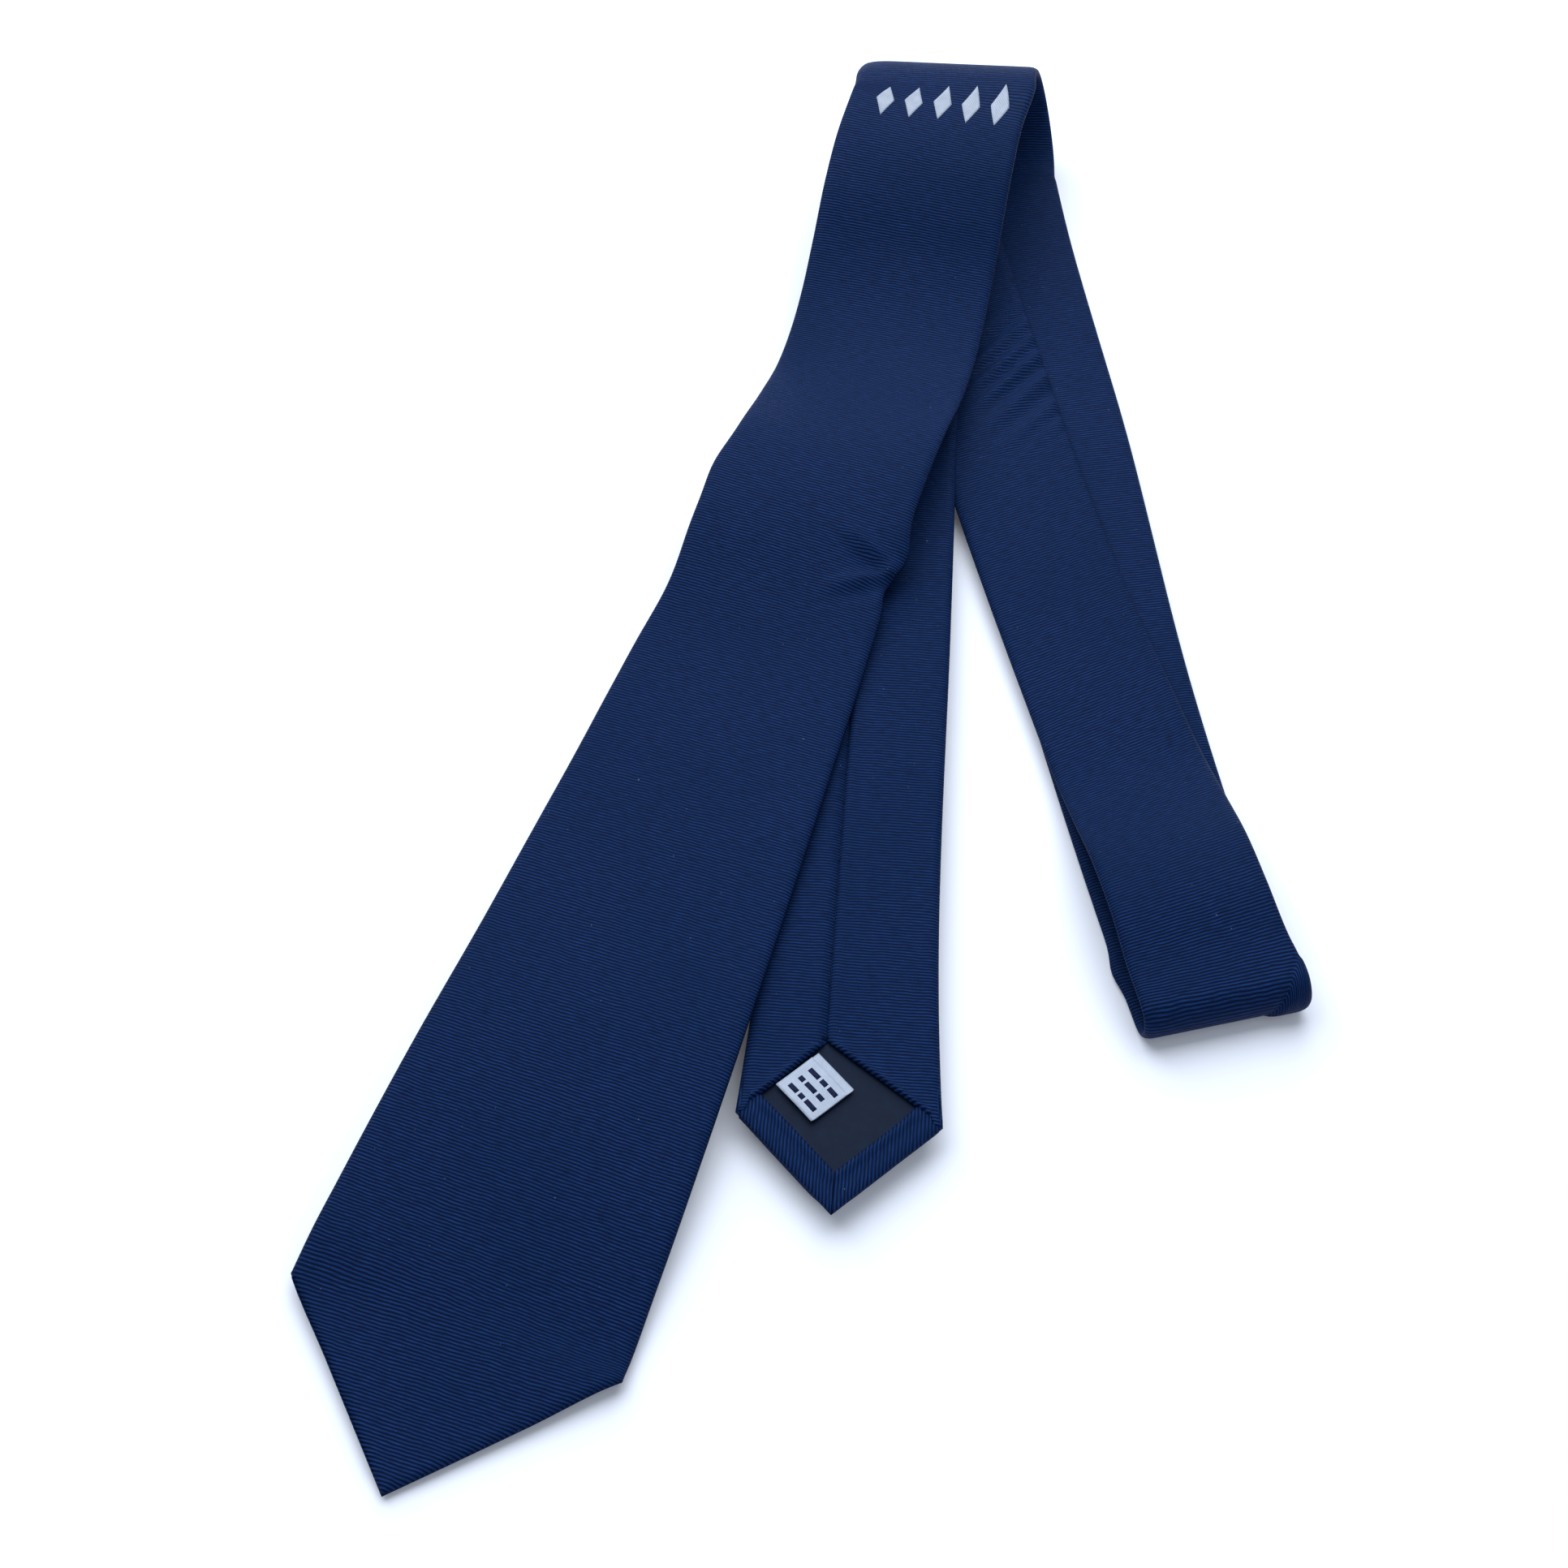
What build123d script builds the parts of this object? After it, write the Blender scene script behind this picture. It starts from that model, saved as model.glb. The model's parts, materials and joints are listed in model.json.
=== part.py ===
from build123d import *

import math
import os
from typing import NamedTuple

# A pressed silk necktie lying folded in four on a table.
#
# Row frame, in millimetres: +Z is up and +Y runs from the wide blade's tip towards the top fold.
# The origin is on the table, under the middle of the neck run, the strand that carries the others.
# From the table upwards the strands are the neck run, the inner run, the narrow blade and the
# wide blade. Three U-shaped folds join them into one length of cloth.


class Station(NamedTuple):
    """One cross-section of a strand: its centre, its width and the way the strand runs there."""

    x: float
    y: float
    width: float
    bearing: float  # degrees clockwise from +Y

    def across(self):
        """Unit vector to the right of the strand."""
        turn = math.radians(self.bearing)
        return Vector(math.cos(turn), -math.sin(turn))

    def along(self):
        """Unit vector up the strand."""
        turn = math.radians(self.bearing)
        return Vector(math.sin(turn), math.cos(turn))

    def at(self, across, along=0.0):
        """Plan point at these distances from the centre."""
        point = Vector(self.x, self.y) + self.across() * across + self.along() * along
        return (point.X, point.Y)

    def shifted(self, across, width):
        """The same cross-section, moved sideways and given another width."""
        return Station(*self.at(across), width, self.bearing)


class Fold(NamedTuple):
    """A U-shaped bend of the whole strand about a level crease."""

    lower: Station  # end of the lower strand
    drift: float  # how far right of it the upper strand's end is, as the strand crosses obliquely
    side: int  # +1 where the bend bulges up the strand, -1 where it bulges down it
    underside: float  # height of the lower strand's underside
    radius: float  # outer radius of the bend
    front_outside: bool  # whether the tie's front face is on the outside of the bend

    def upper(self):
        """End of the upper strand."""
        return self.lower.shifted(self.drift, self.lower.width)


class Strand(NamedTuple):
    """One straight-ish length of the tie between two folds, or between a fold and a tip."""

    stations: list
    datum: Station  # levels are measured along this station's direction
    levels: list  # (distance from the datum, height of the underside) where the strand is level
    front_up: bool
    seam_shift: float  # how far the back seam wanders from the middle


# ------------------------------------------------------------------ cloth thicknesses
# Depths are measured from the front face of the pressed strand to its back face.
SILK = 0.5
FRONT_LAYER = (0.0, SILK)
INTERLINING_LAYER = (0.6, 1.7)
TIPPING_LAYER = (1.8, 2.0)
STRAND_DEPTH = 2.6
CAVITY_LAYER = (SILK, STRAND_DEPTH - SILK)
BACK_LAYER = (STRAND_DEPTH - SILK, STRAND_DEPTH)
SIDE_CLEARANCE = 0.2  # between the interlining's edge and the silk wrapped round it
SEAM_SLIT = 0.6  # gap between the two back flaps where they meet
THREAD = 0.3
REST_GAP = 0.2  # air between strands that lie on each other
END_GAP = 0.05  # between a fold and the strands it joins
PITCH = STRAND_DEPTH + REST_GAP  # height of each strand above the one below

# ------------------------------------------------------------------ folds
TOP_FOLD_HEIGHT = 35.0
NECK_FOLD_HEIGHT = 12.6
INNER_FOLD_HEIGHT = STRAND_DEPTH + PITCH

TOP_FOLD = Fold(Station(-22.3, 144.0, 54.0, 4.0), -9.0, 1, 0.0, TOP_FOLD_HEIGHT / 2, True)
NECK_FOLD = Fold(Station(25.4, -158.5, 42.0, -13.0), 0.0, -1, 0.0, NECK_FOLD_HEIGHT / 2, True)
INNER_FOLD = Fold(Station(-40.0, 144.0, 40.0, -3.0), 0.0, 1, PITCH, INNER_FOLD_HEIGHT / 2, False)
FOLD_ENDS = [end for fold in (TOP_FOLD, NECK_FOLD, INNER_FOLD) for end in (fold.lower, fold.upper())]

# ------------------------------------------------------------------ strands
BEYOND = 400.0  # levels at this distance lie past the strand's far end
NARROW_UNDERSIDE = 2 * PITCH
WIDE_UNDERSIDE = 9.2  # where the wide blade lies on the strands, with room for its keeper loop
WIDE_FOLD_UNDERSIDE = TOP_FOLD_HEIGHT - STRAND_DEPTH

NECK_RUN = Strand(
    [
        NECK_FOLD.lower,
        Station(11.4, -91.0, 43.0, -12.0),
        Station(3.9, -44.0, 45.0, -8.0),
        Station(-5.0, 27.0, 48.0, -8.0),
        Station(-17.2, 104.0, 51.5, -8.0),
        TOP_FOLD.lower,
    ],
    NECK_FOLD.lower,
    [(0.0, 0.0), (BEYOND, 0.0)],
    False,
    2.0,
)
INNER_RUN = Strand(
    [
        NECK_FOLD.upper(),
        Station(20.5, -141.5, 40.5, -14.0),
        Station(11.9, -101.0, 40.0, -14.0),
        Station(-1.9, -45.4, 38.5, -13.0),
        Station(-24.0, 57.9, 39.0, -11.0),
        INNER_FOLD.lower,
    ],
    NECK_FOLD.upper(),
    [
        (0.0, NECK_FOLD_HEIGHT - STRAND_DEPTH),
        (24.0, 13.4),  # the soft loop still rises after the bend
        (82.0, PITCH),
        (BEYOND, PITCH),
    ],
    True,
    2.0,
)
NARROW_BLADE = Strand(
    [
        Station(-67.2, -192.0, 48.6, 5.0),
        Station(-64.7, -154.8, 44.3, 4.5),
        Station(-56.8, -51.0, 42.0, 4.5),
        Station(-50.3, 38.5, 40.5, 4.0),
        INNER_FOLD.upper(),
    ],
    INNER_FOLD.upper(),
    [(-BEYOND, NARROW_UNDERSIDE), (0.0, NARROW_UNDERSIDE)],
    False,
    -4.0,
)
WIDE_BLADE = Strand(
    [
        Station(-153.5, -241.8, 80.0, 18.8),
        Station(-97.6, -83.7, 63.5, 19.0),
        Station(-71.3, -4.8, 56.5, 18.0),
        Station(-54.2, 46.2, 55.0, 13.0),
        Station(-38.7, 116.7, 54.0, 12.0),
        TOP_FOLD.upper(),
    ],
    TOP_FOLD.upper(),
    [
        (-436.0, 0.1),  # the tip rests on the table
        (-306.0, WIDE_UNDERSIDE),
        (-213.0, WIDE_UNDERSIDE),
        (-138.0, 18.5),  # a soft hump left by handling
        (-93.0, 10.3),
        (0.0, WIDE_FOLD_UNDERSIDE),
    ],
    True,
    0.0,
)

# ------------------------------------------------------------------ blade openings
# The flaps part in a V near each tip and show the tipping inside a turned hem.
NARROW_APEX = 20.5  # from the line through the blade's corners up to the V's apex
NARROW_HEM = 7.5
WIDE_APEX = 40.0
WIDE_HEM = 9.0
TIPPING_ABOVE_APEX = 25.0

# ------------------------------------------------------------------ small parts
BAR_TACK = (6.0, 1.2)  # across and along the blade
TACK_HEIGHT = 0.3
SURFACE_GAP = 0.02  # keeps sewn and printed details just off the cloth

LOOP_STATION = Station(-108.1, -113.0, 66.0, 19.0)
LOOP_SPAN = 36.0
LOOP_BAND = 9.0
LOOP_STANDOFF = 0.1

MOTIF_STATION = Station(-32.5, 135.5, 54.0, 8.0)
MOTIF_COUNT = 5
MOTIF_PITCH = 8.6
MOTIF_LENGTH = 13.0
MOTIF_WIDTH = 5.6
MOTIF_FILM = 0.08

LABEL_HINGE = Station(-77.2, -180.0, 11.2, -40.0)  # runs along the left flap's edge
LABEL_LENGTH = 12.2
LABEL_LEAF = 0.16
LABEL_LOOP = 0.45  # total height of the folded ribbon
LABEL_STITCHES = 4
LABEL_STITCH_SETBACK = 0.75  # behind the hinge line, clear of the ribbon when it stands up

SPAN = 300.0  # more than the half-width of the whole object
OVERCUT = 1.0  # a cutter runs this far past the face it opens


# ------------------------------------------------------------------ plan outlines
def ribbon_outline(stations, inset=0.0, pointed=False):
    """Face in plan between a strand's two edges; a pointed one ends in a right angle."""
    half = [station.width / 2 - inset for station in stations]
    left = [station.at(-reach) for station, reach in zip(stations, half)]
    right = [station.at(reach) for station, reach in zip(stations, half)]
    lower_end = [Line(left[0], right[0])]
    if pointed:
        corner = stations[0]
        rise = inset * (math.sqrt(2) - 1)
        left[0] = corner.at(-half[0], rise)
        right[0] = corner.at(half[0], rise)
        tip = corner.at(0, -corner.width / 2 + inset * math.sqrt(2))
        lower_end = [Line(left[0], tip), Line(tip, right[0])]
    edges = [Spline(*left), Line(left[-1], right[-1]), Spline(*right), *lower_end]
    return make_face(edges)


def patch(station, length, width=None):
    """Rectangular face in plan, centred on a station."""
    breadth = station.width if width is None else width
    corners = [
        station.at(-breadth / 2, -length / 2),
        station.at(breadth / 2, -length / 2),
        station.at(breadth / 2, length / 2),
        station.at(-breadth / 2, length / 2),
    ]
    return make_face(Polyline(*corners, close=True))


def opening_outline(corner, apex, hem, seam_shift):
    """The four-sided opening between the back flaps and the turned hem of a blade."""
    half = corner.width / 2
    reach = half - hem * math.sqrt(2)
    side = (apex + reach) / (1 + apex / half)
    points = [
        corner.at(seam_shift, apex),
        corner.at(side, side - reach),
        corner.at(0, -reach),
        corner.at(-side, side - reach),
    ]
    return make_face(Polyline(*points, close=True))


# ------------------------------------------------------------------ solids
def level_curve(levels, lift):
    """Side view of a surface that is level at each given distance, joined by S-curves."""
    edges = []
    for (start, low), (end, high) in zip(levels, levels[1:]):
        middle = (start + end) / 2
        if low == high:
            edges.append(Line((start, low + lift), (end, high + lift)))
        else:
            edges.append(
                Bezier(
                    (start, low + lift),
                    (middle, low + lift),
                    (middle, high + lift),
                    (end, high + lift),
                )
            )
    return edges


def side_plane(station):
    """Plane across the station: its x runs along the strand, its y is up."""
    return Plane(
        origin=(station.x, station.y, 0), x_dir=station.along(), z_dir=station.across()
    )


def slab(strand, outline, depths):
    """The part of a strand under a plan outline, between two depths from its front face."""
    near, far = depths
    low, high = (near, far)
    if strand.front_up:
        low, high = (STRAND_DEPTH - far, STRAND_DEPTH - near)
    bottom = level_curve(strand.levels, low)
    top = level_curve(strand.levels, high)
    ends = [Line(b @ i, t @ i) for b, t, i in ((bottom[0], top[0], 0), (bottom[-1], top[-1], 1))]
    side = make_face([*bottom, *top, *ends])
    band = extrude(side_plane(strand.datum) * side, amount=SPAN, both=True)
    column = extrude(outline, amount=TOP_FOLD_HEIGHT + STRAND_DEPTH, both=True)
    return band & column


def seam_stations(strand, width):
    """The strand's back seam, as stations of the given width."""
    return [station.shifted(strand.seam_shift, width) for station in strand.stations]


def trimmed(strand):
    """The strand's stations with each end that meets a fold pulled back by the end gap."""
    stations = list(strand.stations)
    for index, side in ((0, 1), (-1, -1)):
        station = stations[index]
        if station in FOLD_ENDS:
            x, y = station.at(0, side * END_GAP)
            stations[index] = Station(x, y, station.width, station.bearing)
    return stations


def run_shell(strand):
    """Silk wrapped round a strand between two folds, its flaps meeting at the back seam."""
    stations = trimmed(strand)
    outer = slab(strand, ribbon_outline(stations), (0.0, STRAND_DEPTH))
    hollow = slab(strand, ribbon_outline(strand.stations, SILK), CAVITY_LAYER)
    slit = slab(strand, ribbon_outline(seam_stations(strand, SEAM_SLIT)), BACK_LAYER)
    return outer - hollow - slit


def blade_shell(strand, apex, hem):
    """Silk of a blade: front, sides, two back flaps and the hem turned along its point."""
    corner = strand.stations[0]
    outer = slab(strand, ribbon_outline(trimmed(strand), pointed=True), (0.0, STRAND_DEPTH))
    hollow = slab(strand, ribbon_outline(strand.stations, SILK, pointed=True), CAVITY_LAYER)
    opening = slab(strand, opening_outline(corner, apex, hem, strand.seam_shift), BACK_LAYER)
    slit = slab(strand, ribbon_outline(seam_stations(strand, SEAM_SLIT)), BACK_LAYER)
    return outer - hollow - opening - slit


def interlining(strand, pointed=False):
    """Woven wool padding that fills the strand."""
    inset = SILK + SIDE_CLEARANCE
    return slab(strand, ribbon_outline(trimmed(strand), inset, pointed), INTERLINING_LAYER)


def tipping(strand, apex):
    """Lining of a blade's end, on the interlining and under the flaps and hem."""
    corner, following = strand.stations[:2]
    whole = ribbon_outline(strand.stations, SILK + SIDE_CLEARANCE, pointed=True)
    reach = apex + TIPPING_ABOVE_APEX
    end = Station(*corner.at(0, reach - corner.width), 2 * corner.width, corner.bearing)
    return slab(strand, whole & patch(end, 2 * corner.width), TIPPING_LAYER)


def slip_stitch(strand, apex=0.0):
    """Loose thread that runs in the back seam, from the V's apex if the strand has one."""
    first = strand.stations[0]
    outline = ribbon_outline(seam_stations(strand, THREAD))
    if apex:
        below = Station(*first.at(0, apex - first.width), 2 * first.width, first.bearing)
        outline = outline - patch(below, 2 * first.width)
    middle = (CAVITY_LAYER[1] + STRAND_DEPTH) / 2
    return slab(strand, outline, (middle - THREAD / 2, middle + THREAD / 2))


def bar_tack(strand, apex):
    """Dense bar of stitches across the two flaps, just above the V's apex."""
    corner = strand.stations[0]
    breadth, length = BAR_TACK
    place = Station(*corner.at(strand.seam_shift, apex + length), breadth, corner.bearing)
    back = STRAND_DEPTH + SURFACE_GAP
    return slab(strand, patch(place, length), (back, back + TACK_HEIGHT))


# ------------------------------------------------------------------ folds
def bend(fold, near, far, width, shift=0.0):
    """Half ring of a fold between two depths from the front face, sheared by the fold's drift."""
    inner_radius = fold.radius - STRAND_DEPTH
    small, large = (inner_radius + near, inner_radius + far)
    if fold.front_outside:
        small, large = (fold.radius - far, fold.radius - near)
    ring = Circle(large) - Circle(small)
    keep = Pos(fold.side * (large + END_GAP), 0) * Rectangle(2 * large, 4 * large)
    profile = Pos(0, fold.underside + fold.radius) * (ring & keep)
    band = extrude(side_plane(fold.lower) * profile, amount=width + abs(fold.drift), both=True)
    if not fold.drift:
        return band & extrude(patch(fold.lower.shifted(shift, width), SPAN), amount=SPAN)
    height = 2 * fold.radius
    front = Polyline(
        (shift - width / 2, 0),
        (shift + width / 2, 0),
        (shift + width / 2 + fold.drift, height),
        (shift - width / 2 + fold.drift, height),
        close=True,
    )
    face_on = Plane(
        origin=(fold.lower.x, fold.lower.y, fold.underside),
        x_dir=fold.lower.across(),
        z_dir=-fold.lower.along(),
    )
    return band & extrude(face_on * make_face(front), amount=SPAN, both=True)


def fold_shell(fold, seam_shift):
    """Silk of a fold, wrapped like the strands it joins."""
    outer = bend(fold, 0.0, STRAND_DEPTH, fold.lower.width)
    hollow = bend(fold, *CAVITY_LAYER, fold.lower.width - 2 * SILK)
    slit = bend(fold, *BACK_LAYER, SEAM_SLIT, seam_shift)
    return outer - hollow - slit


def fold_interlining(fold):
    """Padding inside a fold."""
    width = fold.lower.width - 2 * (SILK + SIDE_CLEARANCE)
    return bend(fold, *INTERLINING_LAYER, width)


# ------------------------------------------------------------------ small parts
def keeper_loop():
    """Self-fabric strap across the back of the wide blade, which holds the narrow one."""
    back = STRAND_DEPTH + LOOP_STANDOFF
    return slab(WIDE_BLADE, patch(LOOP_STATION, LOOP_BAND, LOOP_SPAN), (back, back + SILK))


def keeper_loop_stitches():
    """A tack at each end of the keeper loop."""
    back = STRAND_DEPTH + SURFACE_GAP
    bars = []
    for side in (-1, 1):
        reach = side * (LOOP_SPAN / 2 + THREAD)
        place = LOOP_STATION.shifted(reach, THREAD)
        bars.append(slab(WIDE_BLADE, patch(place, LOOP_BAND), (back, back + SILK)))
    return bars


def printed_motif():
    """A plain row of lozenges printed across the front of the wide blade below the fold."""
    lozenges = []
    for index in range(MOTIF_COUNT):
        across = (index - (MOTIF_COUNT - 1) / 2) * MOTIF_PITCH
        points = [
            MOTIF_STATION.at(across - MOTIF_WIDTH / 2, 0),
            MOTIF_STATION.at(across, -MOTIF_LENGTH / 2),
            MOTIF_STATION.at(across + MOTIF_WIDTH / 2, 0),
            MOTIF_STATION.at(across, MOTIF_LENGTH / 2),
        ]
        outline = make_face(Polyline(*points, close=True))
        film = (-SURFACE_GAP - MOTIF_FILM, -SURFACE_GAP)
        lozenges.append(slab(WIDE_BLADE, outline, film))
    return lozenges


def label_box(start, end, low, high):
    """A strip of the care label between two distances out from its hinge line."""
    middle = Station(
        *LABEL_HINGE.at(0, -(start + end) / 2), LABEL_HINGE.width, LABEL_HINGE.bearing
    )
    strip = extrude(patch(middle, end - start), amount=high - low, dir=(0, 0, 1))
    return Pos(0, 0, low) * strip


def label_floor():
    """Height of the lining that the care label lies on."""
    return NARROW_UNDERSIDE + TIPPING_LAYER[1] + SURFACE_GAP


def care_label():
    """Satin ribbon folded back on itself: two leaves joined at the free end."""
    low = label_floor()
    high = low + LABEL_LOOP
    block = label_box(0, LABEL_LENGTH, low, high)
    gap = label_box(-OVERCUT, LABEL_LENGTH - LABEL_LEAF, low + LABEL_LEAF, high - LABEL_LEAF)
    return block - gap


def care_label_stitches():
    """Short stitches that hold the ribbon where it goes under the flap."""
    low = label_floor()
    spacing = LABEL_HINGE.width / LABEL_STITCHES
    stitches = []
    for index in range(LABEL_STITCHES):
        across = (index - (LABEL_STITCHES - 1) / 2) * spacing
        spot = LABEL_HINGE.at(across, LABEL_STITCH_SETBACK)
        place = Station(*spot, spacing / 2, LABEL_HINGE.bearing)
        bar = extrude(patch(place, THREAD), amount=THREAD, dir=(0, 0, 1))
        stitches.append(Pos(0, 0, low) * bar)
    return stitches


# ------------------------------------------------------------------ assembly
def nodes():
    """Every separate piece by name."""
    return {
        "neck_run_shell": run_shell(NECK_RUN),
        "neck_run_interlining": interlining(NECK_RUN),
        "neck_run_slip_stitch": slip_stitch(NECK_RUN),
        "neck_fold_shell": fold_shell(NECK_FOLD, NECK_RUN.seam_shift),
        "neck_fold_interlining": fold_interlining(NECK_FOLD),
        "inner_run_shell": run_shell(INNER_RUN),
        "inner_run_interlining": interlining(INNER_RUN),
        "inner_run_slip_stitch": slip_stitch(INNER_RUN),
        "inner_fold_shell": fold_shell(INNER_FOLD, NARROW_BLADE.seam_shift),
        "inner_fold_interlining": fold_interlining(INNER_FOLD),
        "narrow_blade_shell": blade_shell(NARROW_BLADE, NARROW_APEX, NARROW_HEM),
        "narrow_blade_interlining": interlining(NARROW_BLADE, pointed=True),
        "narrow_blade_tipping": tipping(NARROW_BLADE, NARROW_APEX),
        "narrow_blade_slip_stitch": slip_stitch(NARROW_BLADE, NARROW_APEX),
        "narrow_bar_tack": bar_tack(NARROW_BLADE, NARROW_APEX),
        "care_label": care_label(),
        "care_label_stitches": care_label_stitches(),
        "top_fold_shell": fold_shell(TOP_FOLD, WIDE_BLADE.seam_shift),
        "top_fold_interlining": fold_interlining(TOP_FOLD),
        "wide_blade_shell": blade_shell(WIDE_BLADE, WIDE_APEX, WIDE_HEM),
        "wide_blade_interlining": interlining(WIDE_BLADE, pointed=True),
        "wide_blade_tipping": tipping(WIDE_BLADE, WIDE_APEX),
        "wide_blade_slip_stitch": slip_stitch(WIDE_BLADE, WIDE_APEX),
        "wide_bar_tack": bar_tack(WIDE_BLADE, WIDE_APEX),
        "keeper_loop": keeper_loop(),
        "keeper_loop_stitches": keeper_loop_stitches(),
        "printed_motif": printed_motif(),
    }


def main():
    os.makedirs("parts", exist_ok=True)
    for name, shape in nodes().items():
        solids = shape if isinstance(shape, list) else [shape]
        pieces = [solid for item in solids for solid in item.solids()]
        whole = pieces[0] if len(pieces) == 1 else Compound(children=pieces)
        whole.label = name
        export_step(whole, f"parts/{name}.step")


main()
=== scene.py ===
"""Looks of the folded silk necktie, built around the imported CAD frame.

The tie is one strip of cloth. Its path is read from the CAD nodes as pairs of rim points, and every
piece is laid along that path: s runs from the wide tip to the narrow tip, u across the strip and h
from the middle of the strand towards the tie's front face. Lengths are millimetres until a mesh is
made.
"""

import json
import math

import bmesh
import bpy
import numpy as np
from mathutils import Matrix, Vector


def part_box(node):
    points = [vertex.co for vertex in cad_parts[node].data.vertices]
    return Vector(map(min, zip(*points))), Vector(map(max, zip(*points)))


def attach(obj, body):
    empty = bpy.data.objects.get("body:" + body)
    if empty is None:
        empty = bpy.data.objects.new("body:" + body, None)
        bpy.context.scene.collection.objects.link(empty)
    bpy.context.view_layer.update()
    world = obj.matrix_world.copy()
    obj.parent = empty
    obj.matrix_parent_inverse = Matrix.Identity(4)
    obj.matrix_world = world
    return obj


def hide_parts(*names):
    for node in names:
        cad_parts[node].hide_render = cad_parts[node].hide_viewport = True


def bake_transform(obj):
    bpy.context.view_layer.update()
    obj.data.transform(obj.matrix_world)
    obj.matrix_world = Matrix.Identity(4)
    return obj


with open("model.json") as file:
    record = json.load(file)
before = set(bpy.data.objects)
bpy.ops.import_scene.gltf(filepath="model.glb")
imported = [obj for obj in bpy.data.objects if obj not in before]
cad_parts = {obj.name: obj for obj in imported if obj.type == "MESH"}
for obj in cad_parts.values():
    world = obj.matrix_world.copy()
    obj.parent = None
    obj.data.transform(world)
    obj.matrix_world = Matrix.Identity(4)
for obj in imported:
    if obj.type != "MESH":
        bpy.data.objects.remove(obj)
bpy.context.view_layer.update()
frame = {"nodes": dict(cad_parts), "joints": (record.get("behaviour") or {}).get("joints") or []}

METRES = 0.001
UP = np.array((0.0, 0.0, 1.0))


# ---- reading the CAD frame
def node_points(name):
    """Vertices (mm) and edges of a CAD node."""
    mesh = frame["nodes"][name].data
    points = np.array([vertex.co[:] for vertex in mesh.vertices]) / METRES
    edges = np.array([edge.vertices[:] for edge in mesh.edges])
    return points, edges


def unit(vector):
    """The vector, or each row of an array of vectors, at length one."""
    return vector / np.linalg.norm(vector, axis=-1, keepdims=True)


def level(vector):
    """The horizontal direction of a vector."""
    return unit(np.array((vector[0], vector[1], 0.0)))


def right_of(direction):
    """Horizontal unit vector to the right of a direction."""
    return level(np.cross(direction, UP))


def node_height(name):
    low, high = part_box(name)
    return (high.z - low.z) / METRES


STRAND = node_height("neck_run_shell")
HALF_STRAND = STRAND / 2
RIM_TOLERANCE = 0.3


def cut(points, edges, origin, direction):
    """Where the edges of a mesh cross a plane."""
    side = (points - origin) @ direction
    near, far = side[edges[:, 0]], side[edges[:, 1]]
    crossing = near * far < 0
    start, end = points[edges[crossing, 0]], points[edges[crossing, 1]]
    share = near[crossing] / (near[crossing] - far[crossing])
    return start + (end - start) * share[:, None]


def rims(cloud, across):
    """Middle of the left and of the right rim of a cross-section."""
    reach = cloud @ across
    pair = []
    for edge in (reach.min(), reach.max()):
        rim = cloud[np.abs(reach - edge) < RIM_TOLERANCE]
        pair.append((rim.min(0) + rim.max(0)) / 2)
    return np.array(pair)


def fold_ends(name):
    """Rim pairs at a fold's lower and upper end, and the way the fold bulges."""
    points, _ = node_points(name)
    heights = points[:, 2]
    plan = points[:, :2] - points[:, :2].mean(0)
    spread, axes = np.linalg.eigh(plan.T @ plan)
    across = level(axes[:, spread.argmax()])
    across *= math.copysign(1.0, across[0])
    outward = np.cross(UP, across)
    middle = np.abs(heights - heights.mean()) < np.ptp(heights) / 4
    if (points[middle] @ outward).mean() < (points @ outward).mean():
        outward = -outward
    pairs = []
    for centre in (heights.min() + HALF_STRAND, heights.max() - HALF_STRAND):
        layer = points[np.abs(heights - centre) < HALF_STRAND + RIM_TOLERANCE]
        out = layer @ outward
        pair = rims(layer[out < out.min() + RIM_TOLERANCE], across)
        pair[:, 2] = centre
        pairs.append(pair)
    return pairs[0], pairs[1], outward


SLICE_STEP = 16.0
FOLD_CLEARANCE = 9.0  # slices stay this far from a fold's end face
CORNER_CLEARANCE = 6.0


def strand_slices(name, tail, head, tail_clearance):
    """Rim pairs along a strand between its two end pairs, square to the way it runs."""
    points, edges = node_points(name)
    tail_middle, head_middle = tail.mean(0), head.mean(0)
    span = np.linalg.norm((head_middle - tail_middle)[:2])
    heading = level(head_middle - tail_middle)
    count = round(span / SLICE_STEP)
    distances = np.linspace(tail_clearance, span - FOLD_CLEARANCE, count)
    origins = tail_middle + heading * distances[:, None]
    middles = [rims(cut(points, edges, o, heading), right_of(heading)).mean(0) for o in origins]
    headings = np.gradient(np.array(middles), axis=0)
    pairs = []
    for middle, turned in zip(middles, headings):
        direction = level(turned)
        pairs.append(rims(cut(points, edges, middle, direction), right_of(direction)))
    return pairs


CORNER_VIEW = math.radians(22.5)  # half-way between square to the side and square to the point
POINT_SHARES = (0.0, 0.3, 0.6)  # where the rows in a blade's point lie, from tip to corners


def blade_end(name, head):
    """The tip of a blade and its pair of corners."""
    points, _ = node_points(name)
    heading = level(head.mean(0) - points[points[:, 1].argmin()])
    corners = []
    for side in (-1, 1):
        seen = side * right_of(heading) * math.cos(CORNER_VIEW) - heading * math.sin(CORNER_VIEW)
        reach = points @ seen
        corner = points[reach > reach.max() - RIM_TOLERANCE]
        corners.append((corner.min(0) + corner.max(0)) / 2)
    along = points @ heading
    tip = rims(points[along < along.min() + RIM_TOLERANCE], right_of(heading)).mean(0)
    return tip, np.array(corners)


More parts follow.
